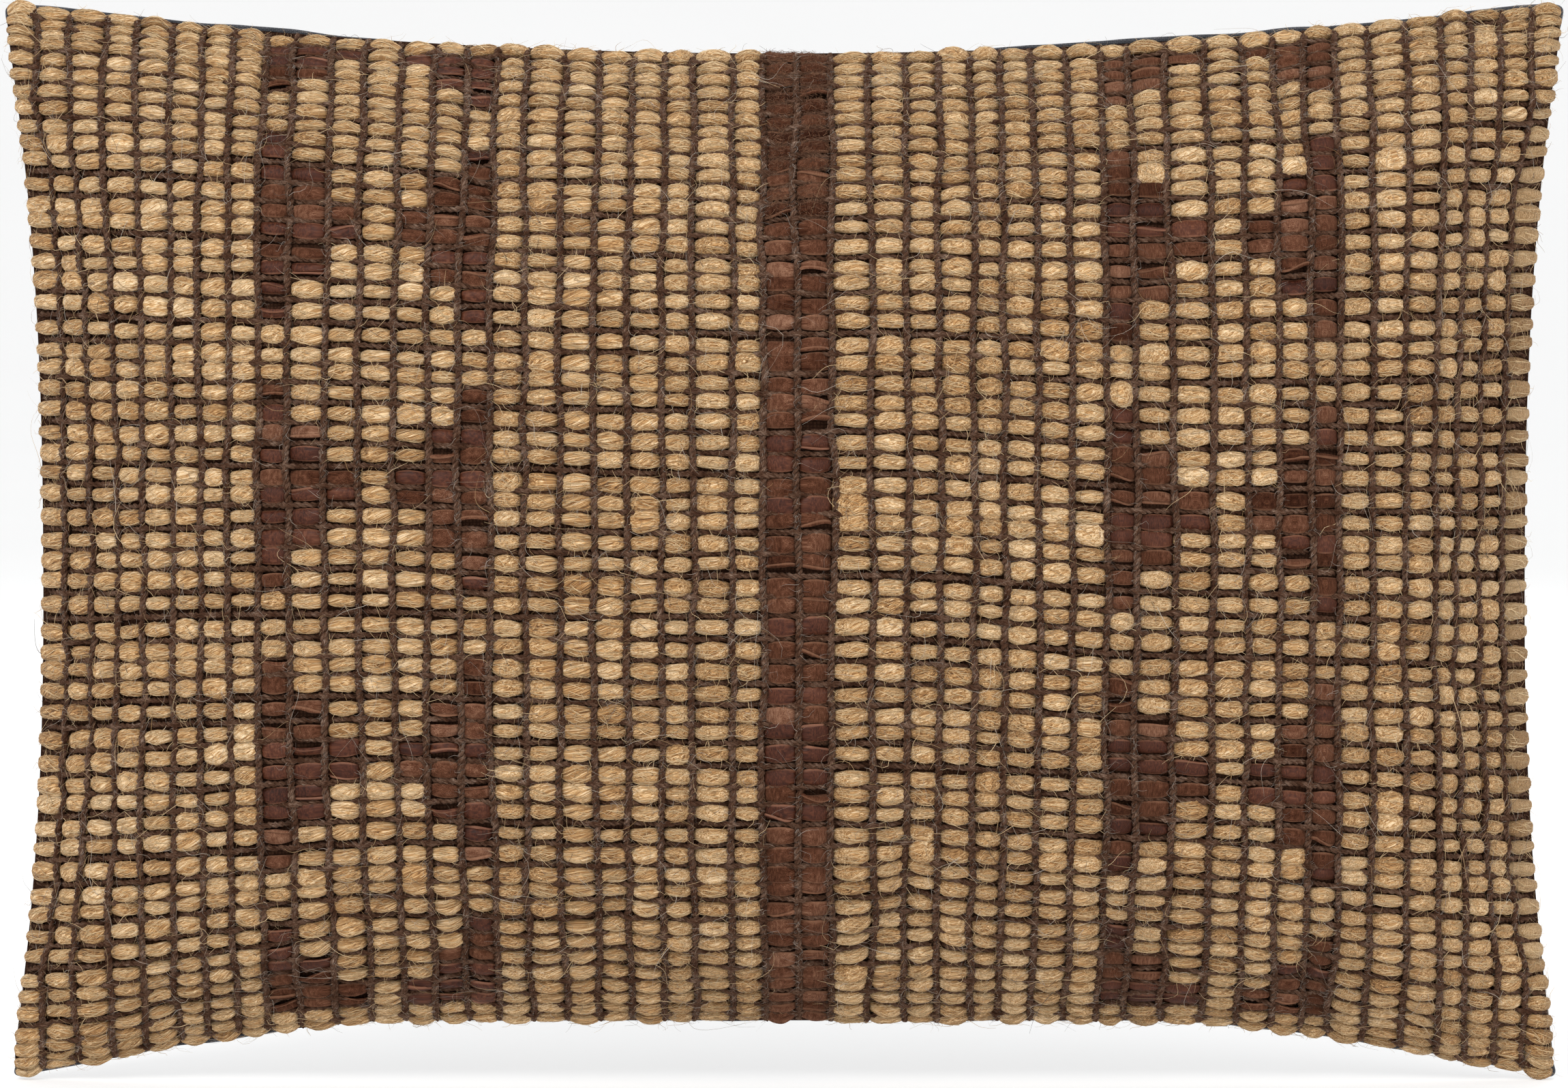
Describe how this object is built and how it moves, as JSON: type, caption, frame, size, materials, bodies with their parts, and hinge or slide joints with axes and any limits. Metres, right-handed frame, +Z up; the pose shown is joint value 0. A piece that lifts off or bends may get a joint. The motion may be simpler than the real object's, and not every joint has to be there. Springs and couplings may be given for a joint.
{
  "type": "throw pillow",
  "caption": "Stuffed lumbar throw pillow: handwoven jute front with leather band and stepped leather motifs, cotton back, loose insert and bottom zip.",
  "frame": {"origin": "under the middle of the pillow's box, level with its two lower corners", "axes": "+X across the pillow to the viewer's right, +Y from the woven front through to the back, +Z up"},
  "size_m": [0.49, 0.132, 0.3394],
  "materials": {
    "ground": "dark brown-grey fuzzy wool and cotton ground cloth, twisted tie cords",
    "jute": "golden tan plied jute, hairy",
    "leather": "dark reddish brown strips, smooth grain side or suede flesh side",
    "back_cotton": "charcoal plain-weave cotton",
    "ticking": "off-white down-proof cotton ticking",
    "fill": "white polyester fibre fill",
    "thread": "dark polyester sewing thread",
    "zip_tape": "charcoal woven zip tape",
    "zip_coil": "dark nylon coil",
    "zip_metal": "dark nickel-plated die-cast metal"
  },
  "bodies": {
    "cover": {"front_ground_cloth": "ground", "jute_field_left": "jute", "jute_field_left_inner": "jute", "jute_motif_left": "jute", "jute_field_right": "jute", "jute_field_right_inner": "jute", "jute_motif_right": "jute", "leather_band_centre": "leather", "leather_left_outer_1": "leather", "leather_left_outer_2": "leather", "leather_left_outer_3": "leather", "leather_left_outer_4": "leather", "leather_left_outer_5": "leather", "leather_left_inner_1": "leather", "leather_left_inner_2": "leather", "leather_left_inner_3": "leather", "leather_left_inner_4": "leather", "leather_left_inner_5": "leather", "leather_right_outer_1": "leather", "leather_right_outer_2": "leather", "leather_right_outer_3": "leather", "leather_right_outer_4": "leather", "leather_right_outer_5": "leather", "leather_right_inner_1": "leather", "leather_right_inner_2": "leather", "leather_right_inner_3": "leather", "leather_right_inner_4": "leather", "leather_right_inner_5": "leather", "back_panel": "back_cotton", "insert_shell_front": "ticking", "insert_shell_back": "ticking", "insert_fill": "fill", "seam_thread_top": "thread", "seam_thread_left": "thread", "seam_thread_right": "thread", "seam_thread_bottom_left": "thread", "seam_thread_bottom_right": "thread", "insert_closing_thread": "thread", "zip_tape_front": "zip_tape", "zip_tape_back": "zip_tape", "zip_coil_front": "zip_coil", "zip_coil_back": "zip_coil", "zip_stop_open_end": "zip_metal", "zip_stop_closed_end": "zip_metal"},
    "slider": {"zip_slider": "zip_metal"},
    "pull": {"zip_pull": "zip_metal"}
  },
  "joints": [
    {"name": "zip_slide", "type": "slide", "parent": "cover", "child": "slider", "axis": [-1, 0, 0], "range_m": [0, 0.274]},
    {"name": "pull_swing", "type": "hinge", "parent": "slider", "child": "pull", "pos_m": [0.137, 0, 0.0186], "axis": [0, -1, 0], "range_deg": [0, 170]}
  ]
}
